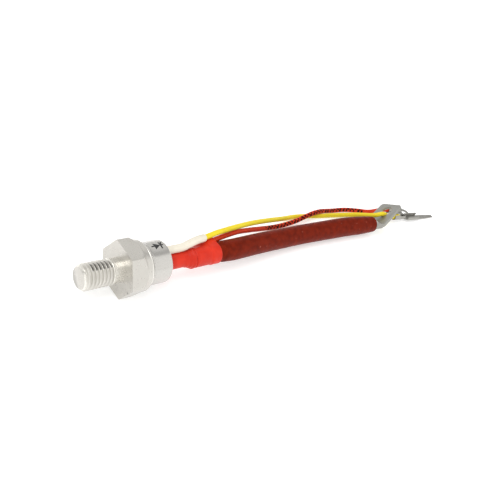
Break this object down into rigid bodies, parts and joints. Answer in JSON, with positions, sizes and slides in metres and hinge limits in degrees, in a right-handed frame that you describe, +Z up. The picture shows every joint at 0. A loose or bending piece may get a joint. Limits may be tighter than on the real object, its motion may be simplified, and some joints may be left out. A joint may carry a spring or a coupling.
{
  "type": "stud thyristor with flexible leads",
  "caption": "Stud-mounted power thyristor: hexagon base and welded can, thick sleeved cathode cable with a bent cable lug, thin gate and auxiliary wires with crimp terminals.",
  "frame": {"origin": "on the surface that the part lies on, under the middle of its rigid part (stud end to boot end), below the axis of the can", "axes": "+X along the axis from the stud to the leads, +Z up, one flat of the hexagon underneath at z = 0"},
  "size_m": [0.2678, 0.0348, 0.024],
  "materials": {
    "nickel_plate": "satin nickel plate on copper",
    "can_nickel": "satin nickel plate on steel",
    "weld_steel": "plain steel",
    "seal_glass": "dark pressed glass",
    "molybdenum": "lapped",
    "silicon": "lapped and etched",
    "copper": "bare copper",
    "tinned_copper": "satin tin plate on copper or brass",
    "white_ptfe": "matte white",
    "boot_red": "satin heat-shrink tube, bright red",
    "sleeve_white": "off-white sleeving",
    "cable_brown_red": "satin silicone rubber, dark brown-red",
    "wire_yellow": "satin yellow insulation",
    "wire_red": "satin red insulation"
  },
  "bodies": {
    "root": {"stud_base": "nickel_plate", "weld_ring": "weld_steel", "can": "can_nickel", "glass_seal": "seal_glass", "anode_disc": "molybdenum", "silicon_chip": "silicon", "cathode_disc": "molybdenum", "cathode_cup": "copper", "locating_ring": "white_ptfe", "gate_pin": "tinned_copper", "gate_pin_sleeve": "white_ptfe", "gate_tube": "weld_steel", "cathode_tube": "weld_steel", "inner_rope": "copper", "joint_ferrule": "copper", "red_boot": "boot_red", "cathode_rope": "copper", "cable_sleeve": "cable_brown_red", "cathode_lug": "tinned_copper", "gate_wire": "wire_yellow", "white_sleeve": "sleeve_white", "gate_strands": "tinned_copper", "gate_terminal": "tinned_copper", "aux_wire": "wire_red", "aux_strands": "tinned_copper", "aux_terminal": "tinned_copper"}
  },
  "joints": []
}
